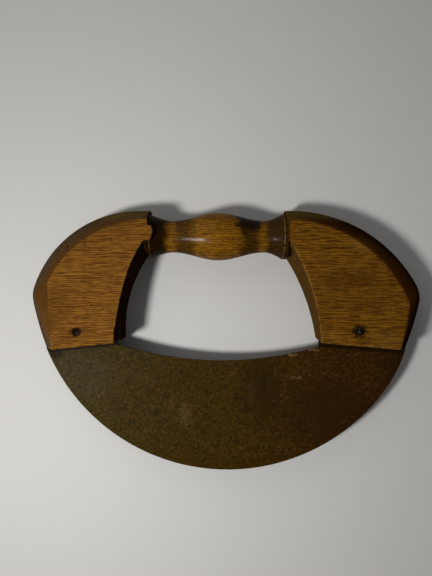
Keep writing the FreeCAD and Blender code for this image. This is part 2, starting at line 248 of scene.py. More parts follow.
class ArmSettings(bpy.types.PropertyGroup):
    """Shape and colours of the two wooden arms."""
    cell: length("Cell", "Spacing of the points on the worn boards", 0.6 * MM, min=0.4 * MM)
    rounding: IntProperty(name="Rounding", description="How often the edges are worn down", default=26,
                          min=1, max=80)
    dents: IntProperty(name="Dents", description="Knocks in each board", default=26, min=0, max=200)
    dent_depth: length("Dent depth", "Depth of the deepest knock", 0.35 * MM)
    wave: length("Wave", "Unevenness of the hand-worked faces", 0.16 * MM)
    left_inner_low: length("Left inner bottom", "Lower end of the left arm's inner edge", -65.0 * MM)
    left_inner_high: length("Left inner top", "Upper end of the left arm's inner edge", -47.8 * MM)
    right_inner_low: length("Right inner bottom", "Lower end of the right arm's inner edge", 54.4 * MM)
    right_inner_high: length("Right inner top", "Upper end of the right arm's inner edge", 36.4 * MM)
    inner_height: length("Inner height", "From the lower to the upper end of the inner edges", 59.3 * MM)
    right_corner: length("Right corner", "Wood worn off the right arm's lower outer corner", 2.2 * MM)
    left_fill: length("Left fill", "How much less hollow the left arm's front inner edge is", 1.35 * MM)
    # The right arm's woods are a little darker than the left arm's: painted shade on the arm further from
    # the lamp
    left_light: colour("Left light wood", "Pale early wood of the left arm", 125, 82, 28)
    left_dark: colour("Left dark wood", "Dark late wood of the left arm", 76, 47, 18)
    right_light: colour("Right light wood", "Pale early wood of the right arm", 118, 77, 19)
    right_dark: colour("Right dark wood", "Dark late wood of the right arm", 64, 38, 9)
    pore: colour("Pores", "Open pores, filled with dirt", 26, 13, 3)
    # The left arm's near-black sawn colour is painted shade on inner faces that turn away from the lamp
    left_sawn: colour("Left sawn faces", "Dirty inner and lower faces of the left arm", 7, 4, 2)
    right_sawn: colour("Right sawn faces", "Inner and lower faces of the right arm", 84, 60, 30)
    left_rim: colour("Left rim", "Dirty outside of the left arm's rounded rim", 74, 64, 48)
    # The right arm's near-black rim colour is partly dirt and partly painted shade on the rim that turns
    # away from the lamp
    right_rim: colour("Right rim", "Dirty outside of the right arm's rounded rim", 13, 7, 3)
    # The paler tops are painted light, where the light catches the rims next to the grip
    top: colour("Tops", "Paler wood on top of the arms, next to the grip", 104, 82, 42)
    left_band: colour("Left rim band", "Where the left arm's rim turns into a face", 62, 38, 15)
    right_band: colour("Right rim band", "Where the right arm's rim turns into a face", 56, 28, 4)
    left_low_band: cover("Left low band", "How much the band covers at the left arm's lower end", 0.35)
    right_low_band: cover("Right low band", "How much the band covers at the right arm's lower end", 0.75)
    worn: colour("Worn edges", "Bare wood on rubbed edges", 140, 104, 42)
    stain: colour("Iron stain", "Black stain round the rivets", 22, 11, 5)
    left_stain: length("Left stain", "Reach of the stain round the left rivet", 3.6 * MM)
    right_stain: length("Right stain", "Reach of the stain round the right rivet", 5.0 * MM)


class GripSettings(bpy.types.PropertyGroup):
    """Shape and colours of the turned grip."""
    left_seat: length("Left seat", "Where the grip meets the left arm", -46.39 * MM)
    right_seat: length("Right seat", "Where the grip meets the right arm", 36.91 * MM)
    neck: length("Neck radius", "Thinnest part of the turning", 9.6 * MM)
    belly: length("Belly radius", "Thickest part of the turning", GRIP_BELLY)
    left_end: length("Left end radius", "Flare at the left end", 13.3 * MM)
    right_end: length("Right end radius", "Flare at the right end", 13.8 * MM)
    left_land: length("Left rim", "Straight rim at the left end", 1.2 * MM)
    right_land: length("Right rim", "Straight rim at the right end", 3.0 * MM)
    left_neck: length("Left neck", "From the left rim to the neck", 12.8 * MM)
    right_neck: length("Right neck", "From the right rim to the neck", 10.7 * MM)
    flare: FloatProperty(name="Flare", description="1 is a straight cone, higher leaves the neck gently",
                         default=1.7, min=1.0)
    broken_edge: length("Broken edge", "Rounded edge of both ends", 0.6 * MM)
    tenon: length("Tenon radius", "Round tenon at each end", 5.5 * MM)
    turns: IntProperty(name="Segments", description="Points round the turning", default=144, min=32)
    wave: length("Wave", "Unevenness left by the chisel and by use", 0.12 * MM)
    dents: IntProperty(name="Dents", description="Knocks in the grip", default=14, min=0, max=200)
    dent_depth: length("Dent depth", "Depth of the deepest knock", 0.2 * MM)
    light: colour("Light wood", "Pale polished wood of the belly", 122, 81, 11)
    dark: colour("Dark wood", "Dark polished wood", 76, 45, 5)
    soot: colour("Dark bands", "Old dirt at the ends and in the necks", 20, 9, 2)
    worn: colour("Worn edges", "Bare wood on rubbed edges", 128, 102, 60)


class BladeSettings(bpy.types.PropertyGroup):
    """Shape and colours of the crescent blade."""
    edge_radius: length("Edge radius", "Round cutting edge", 118.97 * MM)
    edge_x: length("Edge centre X", "Centre of the round edge", 0.91 * MM)
    edge_y: length("Edge centre Y", "Centre of the round edge", 40.3 * MM)
    ends_y: length("Ends", "Height of the edge's two ends", -4.6 * MM)
    right_tip: length("Right tip", "Steel ground off the right end of the edge", 1.8 * MM)
    spine_radius: length("Spine radius", "Hollow back of the crescent", 208.0 * MM)
    spine_x: length("Spine X", "Lowest point of the spine", -2.59 * MM)
    spine_y: length("Spine Y", "Lowest point of the spine", -12.2 * MM)
    left_tang: length("Left tang", "Inner edge of the left tang", -67.49 * MM)
    right_tang: length("Right tang", "Inner edge of the right tang", 56.91 * MM)
    tang_top: length("Tang top", "Where the tangs end in their kerfs", 17.8 * MM)
    tang_reach: length("Tang reach", "From the middle to the tangs' outer ends", 105.0 * MM)
    hole: length("Rivet holes", "Radius of the hole in each tang", 1.65 * MM)
    bevel: length("Bevel", "Ground bevel along the edge", 5.0 * MM)
    land: length("Land", "Thickness left at the edge", 0.3 * MM)
    nick: length("Nick", "Deepest nick in the edge", 0.35 * MM)
    wave: length("Wave", "Unevenness of the forged plate", 0.10 * MM)
    columns: IntProperty(name="Columns", description="Faces along the edge", default=360, min=40)
    rows: IntProperty(name="Rows", description="Faces from the spine to the edge", default=40, min=8)
    left_slope: FloatProperty(name="Left slope", description="Fall of the left arm's bottom edge",
                              default=math.radians(6.0), subtype="ANGLE", unit="ROTATION")
    right_slope: FloatProperty(name="Right slope", description="Fall of the right arm's bottom edge",
                               default=math.radians(4.6), subtype="ANGLE", unit="ROTATION")
    # The grey at the blade's left end is partly patina and partly painted sheen
    grey_patina_and_sheen: colour("Grey patina", "Left end of the blade", 49, 41, 10)
    brown: colour("Brown patina", "Middle of the blade", 50, 34, 2)
    dusky: colour("Dusky patina", "Right end of the blade", 50, 27, 2)
    dark: colour("Dark patina", "Blackened parts", 20, 12, 4)
    bare_steel_and_sheen: colour("Bare steel", "Greyer steel at the left tip", 66, 60, 44)
    rust: colour("Rust", "Rust freckles", 80, 58, 28)
    tan: colour("Tan flecks", "Pale flecks", 150, 122, 84)


class RivetSettings(bpy.types.PropertyGroup):
    """Shape and colours of the peened rivets."""
    cell: length("Cell", "Spacing of the points on a rivet", 0.16 * MM, min=0.08 * MM)
    hammer: length("Hammer marks", "Depth of the peening marks", 0.12 * MM)
    left_iron: colour("Left iron", "Rusty head of the left rivet", 62, 37, 14)
    right_iron: colour("Right iron", "Oxidised head of the right rivet", 58, 46, 40)
    rust: colour("Rust", "Rust in the hollows", 13, 7, 4)


class StageSettings(bpy.types.PropertyGroup):
    """Floor, light and camera."""
    floor: colour("Floor", "Plain pale floor", 190, 188, 184)
    floor_size: length("Floor size", "Side of the floor", 3.0)
    ambient: FloatProperty(name="Ambient", description="Even light from all round", default=0.155, min=0.0)
    key_power: FloatProperty(name="Key power", description="Soft lamp at the left", default=1.74, min=0.0,
                             subtype="POWER", unit="POWER")
    key_size: length("Key size", "Side of the lamp", 0.06)
    key_x: length("Key X", "Lamp, from the middle of the knife", -0.22)
    key_y: length("Key Y", "Lamp, from the middle of the knife", -0.075)
    key_z: length("Key height", "Lamp over the floor", 0.34)
    key_aim: length("Key aim", "Point on the floor that the lamp faces, right of the middle", 0.25)
    fill_power: FloatProperty(name="Fill power", description="Large weak lamp behind the grip",
                              default=0.85, min=0.0, subtype="POWER", unit="POWER")
    fill_size: length("Fill size", "Side of the lamp", 0.5)
    fill_x: length("Fill X", "Lamp, from the middle of the knife", -0.30)
    fill_y: length("Fill Y", "Lamp, from the middle of the knife", 0.50)
    fill_z: length("Fill height", "Lamp over the floor", 0.40)
    fill_aim: length("Fill aim", "Point on the floor that the lamp faces, right of the middle", 0.0)
    camera_x: length("Camera X", "Camera over the knife", -6.1 * MM)
    camera_y: length("Camera Y", "Camera over the knife", 31.85 * MM)
    camera_z: length("Camera height", "Camera over the floor", 278.6 * MM)
    lens: FloatProperty(name="Lens", description="Focal length on a 36 mm sensor", default=27.06,
                        unit="CAMERA")


class ChopperSettings(bpy.types.PropertyGroup):
    """All that a user may change on the knife."""
    arms: PointerProperty(type=ArmSettings)
    grip: PointerProperty(type=GripSettings)
    blade: PointerProperty(type=BladeSettings)
    rivets: PointerProperty(type=RivetSettings)
    stage: PointerProperty(type=StageSettings)


# Mesh tools

def only(piece):
    """Selects one piece alone and makes it active."""
    bpy.ops.object.select_all(action="DESELECT")
    piece.select_set(True)
    bpy.context.view_layer.objects.active = piece


def in_edit_mode(piece, *actions):
    """Runs edit-mode actions on the whole of a piece."""
    only(piece)
    bpy.ops.object.mode_set(mode="EDIT")
    bpy.ops.mesh.select_all(action="SELECT")
    for action in actions:
        action()
    bpy.ops.object.mode_set(mode="OBJECT")


def merge():
    """Joins the selected points that lie in one place."""
    bpy.ops.mesh.remove_doubles(threshold=MERGE_REACH)


def face_outwards():
    """Turns the selected faces outwards."""
    bpy.ops.mesh.normals_make_consistent(inside=False)


def finish_with(piece, kind, **settings):
    """Adds a modifier and applies it."""
    only(piece)
    modifier = piece.modifiers.new(kind.title(), kind)
    for key, value in settings.items():
        setattr(modifier, key, value)
    bpy.ops.object.modifier_apply(modifier=modifier.name)


def copied_node(node, name):
    """A new piece with its own merged copy of a CAD node's mesh."""
    piece = bpy.data.objects.new(name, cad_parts[node].data.copy())
    bpy.context.scene.collection.objects.link(piece)
    piece.data.materials.clear()
    in_edit_mode(piece, merge)
    return piece


def vectors_of(piece, key):
    """One vector for each point of the piece, as an array."""
    flat = np.empty(len(piece.data.vertices) * 3)
    piece.data.vertices.foreach_get(key, flat)
    return flat.reshape(-1, 3)


def points_of(piece):
    """The places of the piece's points."""
    return vectors_of(piece, "co")


def normals_of(piece):
    """The directions in which the surface faces at the piece's points."""
    return vectors_of(piece, "normal")


def set_points(piece, points):
    """Moves the piece's points."""
    piece.data.vertices.foreach_set("co", points.ravel())
    piece.data.update()


def ripple(points, spacing, seed):
    """Smooth noise from -1 to 1 at each point."""
    shift = Vector((seed, 2 * seed, 3 * seed))
    return np.array([noise.noise(Vector(place) / spacing + shift) for place in points])


def flat_ripple(places, spacing, seed):
    """The same noise at places in the plane Z = 0."""
    return ripple(np.column_stack((places, np.zeros(len(places)))), spacing, seed)


def ramp(values, low, high):
    """0 up to low, 1 from high on, with a straight slope between them."""
    return np.clip((values - low) / (high - low), 0, 1)


def roughen(piece, depth, spacing, seed):
    """Lowers the surface unevenly by up to depth, never outwards."""
    points = points_of(piece)
    lowered = (1 - ripple(points, spacing, seed)) / 2
    set_points(piece, points - normals_of(piece) * (depth * np.clip(lowered, 0, 1))[:, None])


def knock(piece, count, depth, seed):
    """Presses small dents into a piece."""
    draw = random.Random(seed)
    points = points_of(piece)
    normals = normals_of(piece)
    for _ in range(count):
        middle = draw.randrange(len(points))
        radius = draw.uniform(*DENT_RADIUS)
        press = draw.uniform(*DENT_DEPTH) * depth
        squeeze = np.array((draw.uniform(*DENT_SQUEEZE), 1.0, 1.0))
        away = np.linalg.norm((points - points[middle]) * squeeze, axis=1) / radius
        fall = np.where(away < 1, (1 - away ** 2) ** 2, 0)
        facing = np.clip(normals @ normals[middle], 0, 1)
        points = points - normals[middle] * (press * fall * facing)[:, None]
    set_points(piece, points)


def weigh(piece, name, weights):
    """Stores weights from 0 to 1 as a vertex group."""
    group = piece.vertex_groups.new(name=name)
    for index, weight in enumerate(weights):
        group.add([index], float(weight), "REPLACE")
    return group.name


def mark_edges(piece, passes, full, kept=1.0):
    """Stores how far each point stands out of, or lies in, the smoothed surface round it.

    Where kept is under 1, as it may be for each point, standing out counts for less.
    """
    mesh = piece.data
    points = points_of(piece)
    ends = np.empty(len(mesh.edges) * 2, dtype=np.int64)
    mesh.edges.foreach_get("vertices", ends)
    first, second = ends.reshape(-1, 2).T
    count = len(points)
    valence = np.maximum(np.bincount(ends, minlength=count), 1)
    smooth = points.copy()
    for _ in range(passes):
        for axis in range(3):
            line = smooth[:, axis]
            total = np.bincount(first, line[second], count) + np.bincount(second, line[first], count)
            smooth[:, axis] = total / valence
    out = ((points - smooth) * normals_of(piece)).sum(axis=1) / full
    for name, amount in ((ARRIS, out * kept), (CREASE, -out)):
        attribute = mesh.attributes.new(name, "FLOAT", "POINT")
        attribute.data.foreach_set("value", np.clip(amount, 0, 1))


def dress(piece, node, material):
    """Puts a finished piece in its CAD node's place on the knife."""
    piece.data.materials.clear()
    piece.data.materials.append(material)
    only(piece)
    bpy.ops.object.shade_smooth()
    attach(piece, "root")
    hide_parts(node)


# Shader tools

def new_node(tree, kind, inputs=None, **settings):
    """Outputs of a new shader node, whose inputs are values or links."""
    made = tree.nodes.new("ShaderNode" + kind)
    for key, value in settings.items():
        setattr(made, key, value)
    for key, value in (inputs or {}).items():
        socket = made.inputs[key]
        if isinstance(value, bpy.types.NodeSocket):
            tree.links.new(value, socket)
        else:
            socket.default_value = value
    return made.outputs


def maths(tree, operation, first, second=0.0):
    """Result of one operation on values or links."""
    return new_node(tree, "Math", {0: first, 1: second}, operation=operation)[0]


def vector_maths(tree, operation, first, second):
    """Result of one operation on two vectors."""
    return new_node(tree, "VectorMath", {0: first, 1: second}, operation=operation)[0]


def split(tree, vector):
    """Outputs X, Y and Z of a vector."""
    return new_node(tree, "SeparateXYZ", {0: vector})


def alike(tree, value):
    """Vector with the same value along X, Y and Z."""
    return new_node(tree, "CombineXYZ", {"X": value, "Y": value, "Z": value})[0]


def step(tree, value, low, high, to_low=0.0, to_high=1.0):
    """Smooth step from to_low to to_high while value goes from low to high."""
    return new_node(tree, "MapRange", {
        "Value": value, "From Min": low, "From Max": high, "To Min": to_low, "To Max": to_high,
    }, interpolation_type="SMOOTHSTEP")["Result"]


def opaque(rgb):
    """A colour with full alpha."""
    return (*rgb, 1.0)


def mixed(tree, amount, first, second):
    """Mix of two colours, all of the first at 0 and all of the second at 1."""
    return new_node(tree, "Mix", {0: amount, 6: first, 7: second}, data_type="RGBA")[2]


def painted(tree, base, tint, mask, amount=1.0):
    """The base colour with a tint over it, where the mask is and as strongly as the amount says."""
    share = mask if amount == 1.0 else maths(tree, "MULTIPLY", mask, amount)
    return mixed(tree, share, base, opaque(tint))


def plus(tree, base, value, amount):
    """The base value plus an amount of another."""
    return maths(tree, "ADD", base, maths(tree, "MULTIPLY", value, amount))


def swing(tree, value, width):
    """Moves noise from 0 to 1 to both sides of zero, over the given width."""
    return maths(tree, "MULTIPLY", maths(tree, "SUBTRACT", value, 0.5), width)


def stretched(tree, place, lengths):
    """Coordinates counted in these lengths along X, Y and Z."""
    return vector_maths(tree, "DIVIDE", place, lengths)


def cloud(tree, place, lengths, detail=3.0, roughness=0.6, distortion=0.0):
    """Noise from 0 to 1 with the given lengths."""
    return new_node(tree, "TexNoise", {
        "Vector": stretched(tree, place, lengths), "Scale": 1.0, "Detail": detail,
        "Roughness": roughness, "Distortion": distortion,
    }, normalize=True)["Fac"]


# Shared node groups

def new_group(name, inputs, outputs):
    """A node group with named sockets: its tree, what it is given and what it has to give."""
    tree = bpy.data.node_groups.new(name, "ShaderNodeTree")
    for in_out, sockets in (("INPUT", inputs), ("OUTPUT", outputs)):
        for label, kind in sockets.items():
            tree.interface.new_socket(label, in_out=in_out, socket_type="NodeSocket" + kind)
    given = tree.nodes.new("NodeGroupInput").outputs
    wanted = tree.nodes.new("NodeGroupOutput").inputs
    return tree, given, wanted


def placed(tree, name, build, inputs):
    """Outputs of a node group, which is built the first time that it is asked for."""
    group = bpy.data.node_groups.get(name) or build(name)
    return new_node(tree, "Group", inputs, node_tree=group)


def build_grain(name):
    """Straight grain along X: fine lines of figure, short dark pores and fibres."""
    tree, given, wanted = new_group(
        name, {"Place": "Vector", "Figure": "Vector", "Pore": "Vector", "Pore Cover": "Float"},
        {"Figure": "Float", "Pores": "Float", "Fibre": "Float"})
    lines = new_node(tree, "TexWave", {
        "Vector": stretched(tree, given["Place"], given["Figure"]), "Scale": WAVE_PERIOD,
        "Distortion": 9.0, "Detail": 3.0, "Detail Scale": 2.2, "Detail Roughness": 0.6,
    }, bands_direction="Y")["Fac"]
    blotch = cloud(tree, given["Place"], given["Figure"])
    figure = plus(tree, maths(tree, "MULTIPLY", lines, LINE_SHARE), blotch, 1 - LINE_SHARE)
    pore = cloud(tree, given["Place"], given["Pore"], 2.0, 0.5)
    open_at = maths(tree, "SUBTRACT", PORE_LEVEL, given["Pore Cover"])
    full_at = maths(tree, "ADD", open_at, PORE_EDGE)
    finer = vector_maths(tree, "MULTIPLY", given["Pore"], (FIBRE_SHARE, FIBRE_SHARE, FIBRE_SHARE))
    tree.links.new(figure, wanted["Figure"])
    tree.links.new(step(tree, pore, open_at, full_at), wanted["Pores"])
    tree.links.new(cloud(tree, given["Place"], finer), wanted["Fibre"])
    return tree


def straight_grain(tree, place, figure, pore, pore_cover):
    """Figure, pores and fibres of wood with these lengths of line and pore."""
    return placed(tree, "Straight Grain", build_grain, {
        "Place": place, "Figure": figure, "Pore": pore, "Pore Cover": pore_cover})


def build_wear(name):
    """Ragged masks of rubbed edges and of dirt in corners."""
    tree, given, wanted = new_group(
        name, {"Place": "Vector", "Arris": "Float", "Crease": "Float", "Size": "Float"},
        {"Rubbed": "Float", "Dirt": "Float"})
    ragged = cloud(tree, given["Place"], alike(tree, given["Size"]), 4.0, 0.65)
    rubbed = maths(tree, "MULTIPLY", given["Arris"], step(tree, ragged, 0.34, 0.62))
    dirt = maths(tree, "MULTIPLY", given["Crease"], step(tree, ragged, 0.70, 0.35))
    tree.links.new(step(tree, rubbed, 0.10, 0.60), wanted["Rubbed"])
    tree.links.new(step(tree, dirt, 0.05, 0.50), wanted["Dirt"])
    return tree


def edge_wear(tree, place, size):
    """Rubbed edges and dirty corners of a piece with marked edges."""
    arris = new_node(tree, "Attribute", attribute_name=ARRIS)["Fac"]
    crease = new_node(tree, "Attribute", attribute_name=CREASE)["Fac"]
    return placed(tree, "Edge Wear", build_wear, {
        "Place": place, "Arris": arris, "Crease": crease, "Size": size})


def build_spot(name):
    """Mask of one ragged spot."""
    tree, given, wanted = new_group(
        name, {"Place": "Vector", "Centre": "Vector", "Reach": "Vector", "Ragged": "Float",
               "Crumb": "Float"},
        {"Spot": "Float"})
    broken = cloud(tree, given["Place"], alike(tree, given["Crumb"]), 4.0)
    offset = vector_maths(tree, "SUBTRACT", given["Place"], given["Centre"])
    away = new_node(tree, "VectorMath", {0: stretched(tree, offset, given["Reach"])}, operation="LENGTH")
    edge = maths(tree, "ADD", away["Value"], swing(tree, broken, given["Ragged"]))
    tree.links.new(step(tree, edge, 1.0, 0.45), wanted["Spot"])
    return tree


def spot(tree, place, middle, reach, ragged, crumb):
    """Mask of a spot that reaches so far along X, Y and Z and frays in crumbs of this size."""
    return placed(tree, "Ragged Spot", build_spot, {
        "Place": place, "Centre": middle, "Reach": reach, "Ragged": ragged, "Crumb": crumb})["Spot"]


def new_material(name):
    """A material with a Principled shader: the material, its tree and the shader's inputs."""
    material = bpy.data.materials.new(name)
    material.use_nodes = True
    tree = material.node_tree
    tree.nodes.clear()
    shader = tree.nodes.new("ShaderNodeBsdfPrincipled")
    output = tree.nodes.new("ShaderNodeOutputMaterial")
    tree.links.new(shader.outputs["BSDF"], output.inputs["Surface"])
    return material, tree, shader.inputs


def set_plain(surface, values):
    """Sets what is the same all over a surface."""
    for key, value in values.items():
        surface[key].default_value = value


def set_patterns(tree, surface, base, roughness, height, depth):
    """Links colour, roughness and relief to the shader."""
    relief = new_node(tree, "Bump", {"Strength": 1.0, "Distance": depth, "Height": height})
    tree.links.new(base, surface["Base Color"])
    tree.links.new(roughness, surface["Roughness"])
    tree.links.new(relief["Normal"], surface["Normal"])


# Materials

def arm_material(name, looks, arms, rivet, marks):
    """Old oiled board with dirty rims, dark pores, rubbed edges and an iron-stained rivet hole; the right
    arm's rim and the left arm's inner faces also carry painted shade, and the tops painted light.
    """
    material, tree, surface = new_material(name)
    light, dark, sawn_tint_and_shade, rim_tint_and_shade, band_tint, low_band, stained = looks
    texture = new_node(tree, "TexCoord")
    place = texture["Object"]
    axes = split(tree, place)
    turned = split(tree, texture["Normal"])
    grain = straight_grain(tree, place, ARM_FIGURE, ARM_PORE, ARM_PORE_COVER)
    wear = edge_wear(tree, place, ARM_WEAR)

    # Sawn faces look inward or down. A rim, with a band along it, runs round the rest
    inward = maths(tree, "MULTIPLY", turned["X"], -math.copysign(1.0, rivet[0]))
    downward = maths(tree, "MULTIPLY", turned["Y"], -1.0)
    flat = maths(tree, "ABSOLUTE", turned["Z"])
    sawn = maths(tree, "MAXIMUM", step(tree, inward, *SAWN_TURN), step(tree, downward, *SAWN_TURN))
    rounded = maths(tree, "SUBTRACT", 1.0, sawn)
    rim = maths(tree, "MULTIPLY", rounded, step(tree, flat, *RIM_TURN))
    band = maths(tree, "MULTIPLY", rounded, step(tree, flat, *BAND_TURN))

    # Wood
    base = mixed(tree, step(tree, grain["Figure"], 0.20, 0.80), opaque(dark), opaque(light))
    tone = cloud(tree, place, ARM_TONE, roughness=0.55)
    base = painted(tree, base, dark, step(tree, tone, 0.56, 0.32, to_high=0.22))
    for tint, middle, reach, amount in marks:
        patch = spot(tree, place, (*middle, rivet[2]), (*reach, MARK_DEPTH), *MARK_FRAY)
        base = painted(tree, base, tint, patch, amount)
    base = painted(tree, base, arms.pore, grain["Pores"], 0.35)

    # Dirt and handling, with painted shade on the left arm's inner faces and the right arm's outer rim,
    # and painted light on the tops next to the grip
    base = painted(tree, base, sawn_tint_and_shade, sawn, 0.80)
    base = painted(tree, base, band_tint, band, step(tree, axes["Y"], *BAND_Y, low_band, BAND_COVER))
    base = painted(tree, base, rim_tint_and_shade, rim, step(tree, axes["Y"], *RIM_Y, *RIM_COVER))
    base = painted(tree, base, arms.top, band, step(tree, axes["Y"], *LIT_TOP_Y, to_high=LIT_TOP_COVER))
    specks = step(tree, cloud(tree, place, ARM_SPECK), 0.62, 0.42, to_high=0.5)
    base = painted(tree, base, arms.pore, maths(tree, "MAXIMUM", rim, sawn), specks)
    from_kerf = maths(tree, "ABSOLUTE", maths(tree, "SUBTRACT", axes["Z"], rivet[2]))
    handled = maths(tree, "MULTIPLY", wear["Rubbed"], step(tree, from_kerf, *HANDLED_FADE))
    base = painted(tree, base, arms.worn, handled, 0.32)
    base = painted(tree, base, arms.pore, wear["Dirt"], 0.85)
    run = (rivet[0] - STAIN_RUN * stained, rivet[1], rivet[2])
    core = spot(tree, place, run, ((1 + STAIN_RUN) * stained, stained, STAIN_DEPTH), *STAIN_FRAY)
    base = painted(tree, base, arms.stain, core, 0.95)

    gloss = plus(tree, plus(tree, 0.58, grain["Fibre"], 0.14), rim, 0.10)
    relief = maths(tree, "SUBTRACT", maths(tree, "MULTIPLY", grain["Fibre"], 0.35), grain["Pores"])
    set_patterns(tree, surface, base, gloss, relief, ARM_RELIEF)
    set_plain(surface, ARM_PLAIN)
    return material


def grip_material(grip):
    """Hand-polished turning with dark bands in the necks and at the ends."""
    material, tree, surface = new_material("Hand-polished grip wood")
    place = new_node(tree, "TexCoord")["Object"]
    grain = straight_grain(tree, place, GRIP_FIGURE, GRIP_PORE, GRIP_PORE_COVER)
    wear = edge_wear(tree, place, GRIP_WEAR)
    base = mixed(tree, step(tree, grain["Figure"], 0.20, 0.75), opaque(grip.dark), opaque(grip.light))

    # Left end, right end and amount of each dark band
    bands = (
        (grip.left_seat - 9 * MM, grip.left_seat + 11 * MM, 0.97),
        (grip.left_seat + 16 * MM, grip.left_seat + 27 * MM, 0.68),
        (grip.right_seat - 28 * MM, grip.right_seat - 17 * MM, 0.76),
        (grip.right_seat - 13 * MM, grip.right_seat + 9 * MM, 0.86),
    )
    ragged = swing(tree, cloud(tree, place, GRIP_WANDER), GRIP_WANDER_REACH)
    along = maths(tree, "ADD", split(tree, place)["X"], ragged)
    dull = 0.0
    for start, end, amount in bands:
        begun = step(tree, along, start - GRIP_BAND_EDGE, start + GRIP_BAND_EDGE)
        ended = step(tree, along, end - GRIP_BAND_EDGE, end + GRIP_BAND_EDGE, amount, 0.0)
        sooty = maths(tree, "MULTIPLY", begun, ended)
        base = painted(tree, base, grip.soot, sooty)
        dull = maths(tree, "MAXIMUM", sooty, dull)
    shaded = (SHADE_X, GRIP_AXIS_Y + SHADE_OFF_AXIS, GRIP_AXIS_Z + SHADE_OFF_AXIS)
    shade = spot(tree, place, shaded, SHADE_REACH, *SHADE_FRAY)
    base = painted(tree, base, grip.soot, shade, 0.92)
    base = painted(tree, base, grip.soot, grain["Pores"], 0.55)
    base = painted(tree, base, grip.soot, wear["Dirt"], 0.8)
    base = painted(tree, base, grip.worn, wear["Rubbed"], 0.38)

    gloss = plus(tree, 0.40, grain["Fibre"], 0.14)
    relief = maths(tree, "SUBTRACT", maths(tree, "MULTIPLY", grain["Fibre"], 0.3), grain["Pores"])
    set_patterns(tree, surface, base, gloss, relief, GRIP_RELIEF)
    tree.links.new(plus(tree, 0.08, dull, -0.06), surface["Coat Weight"])
    set_plain(surface, GRIP_PLAIN)
    return material


def blade_material(blade):
    """Old carbon steel: grey to brown patina with painted sheen at the left end, fine grit, flecks and
    darkening along the arms.
    """
    material, tree, surface = new_material("Patinated blade steel")
    place = new_node(tree, "TexCoord")["Object"]
    axes = split(tree, place)
    broad = cloud(tree, place, BLADE_BROAD, 4.0, 0.6, 0.4)
    mottle = cloud(tree, place, BLADE_MOTTLE, 5.0, 0.65, 0.5)
    grit = cloud(tree, place, BLADE_GRIT, roughness=0.65)

    # Patina, from grey at the left through brown to dusky at the right; the grey at the left end is partly
    # painted sheen
    side = maths(tree, "ADD", axes["X"], swing(tree, broad, PATINA_WANDER))
    base = mixed(tree, step(tree, side, *GREY_AND_SHEEN_X), opaque(blade.brown), opaque(blade.grey_patina_and_sheen))
    base = painted(tree, base, blade.dusky, step(tree, side, *DUSKY_X))
    base = painted(tree, base, blade.dark, step(tree, mottle, 0.52, 0.30, to_high=0.45))
    base = painted(tree, base, blade.rust, step(tree, grit, 0.52, 0.70, to_high=0.56))
    base = painted(tree, base, blade.dark, step(tree, grit, 0.48, 0.30, to_high=0.80))

    # Colour, middle, reach and amount of each fleck
    freckles = (
        (blade.rust, in_mm(-33.5, -38.5), in_mm(3, 5), 0.30),
        (blade.tan, in_mm(-25, -45), in_mm(6, 10), 0.07),
        (blade.tan, in_mm(15.5, -31), in_mm(3.2, 9), 0.05),
        (blade.tan, in_mm(42.5, -22.5), in_mm(4.5, 1.3), 0.16),
        (blade.tan, in_mm(40.0, -8.8), in_mm(3.6, 1.1), 0.40),
        (blade.tan, in_mm(53.0, -5.8), in_mm(4.4, 0.9), 0.35),
        (blade.dark, in_mm(-42.5, -44), in_mm(2.5, 2.5), 0.70),
        (blade.dark, in_mm(22.5, -25.5), in_mm(3.6, 9), 0.45),
        (blade.dark, in_mm(21, -28), in_mm(15, 32), 0.45),
        (blade.dark, in_mm(-102.5, -8.4), in_mm(5.0, 3.6), 1.00),
        (blade.dark, in_mm(62, -44), in_mm(42, 26), 0.45),
        (blade.dark, in_mm(107, -20), in_mm(16, 22), 0.55),
        # The bare steel patch at the left end is partly painted sheen
        (blade.bare_steel_and_sheen, in_mm(-92, -22), in_mm(30, 20), 0.26),
    )
    gritty = step(tree, grit, 0.36, 0.58, to_low=0.3)
    for tint, middle, reach, amount in freckles:
        patch = spot(tree, place, (*middle, BLADE_MIDDLE_Z), (*reach, FRECKLE_DEPTH), *FRECKLE_FRAY)
        base = painted(tree, base, tint, maths(tree, "MULTIPLY", patch, gritty), amount)

    # Slope, inner end, width and amount of the darkening on the blade along each arm's lower edge
    seams = (
        (-math.tan(blade.left_slope), blade.left_tang, 3.6 * MM, 0.90),
        (math.tan(blade.right_slope), blade.right_tang, 4.8 * MM, 0.85),
    )
    height = maths(tree, "ADD", axes["Y"], swing(tree, mottle, SEAM_WANDER))
    for slope, tang, wide, amount in seams:
        below = plus(tree, height, maths(tree, "SUBTRACT", axes["X"], tang), slope)
        under_arm = step(tree, maths(tree, "MULTIPLY", axes["X"], 1 / tang), 0.94, 1.0)
        darkened = step(tree, below, -wide, -0.7 * wide, to_high=amount)
        base = painted(tree, base, blade.dark, under_arm, darkened)

    gloss = plus(tree, 0.46, mottle, 0.20)
    pits = maths(tree, "MULTIPLY", maths(tree, "ADD", mottle, grit), 0.6)
    set_patterns(tree, surface, base, gloss, pits, BLADE_RELIEF)
    set_plain(surface, BLADE_PLAIN)
    return material


def rivet_material(name, rivets, iron):
    """Peened iron, blackened and rusty."""
    material, tree, surface = new_material(name)
    place = new_node(tree, "TexCoord")["Object"]
    crust = cloud(tree, place, RIVET_CRUST)
    base = mixed(tree, step(tree, crust, 0.50, 0.60), opaque(rivets.rust), opaque(iron))
    base = painted(tree, base, rivets.rust, edge_wear(tree, place, RIVET_WEAR)["Dirt"], 0.8)
    set_patterns(tree, surface, base, plus(tree, 0.55, crust, 0.35), crust, RIVET_RELIEF)
    set_plain(surface, RIVET_PLAIN)
    return material


# Operators

def settings_of(group, start, *names):
    """Settings whose names start alike, by the rest of their names."""
    return [getattr(group, start + "_" + name) for name in names]


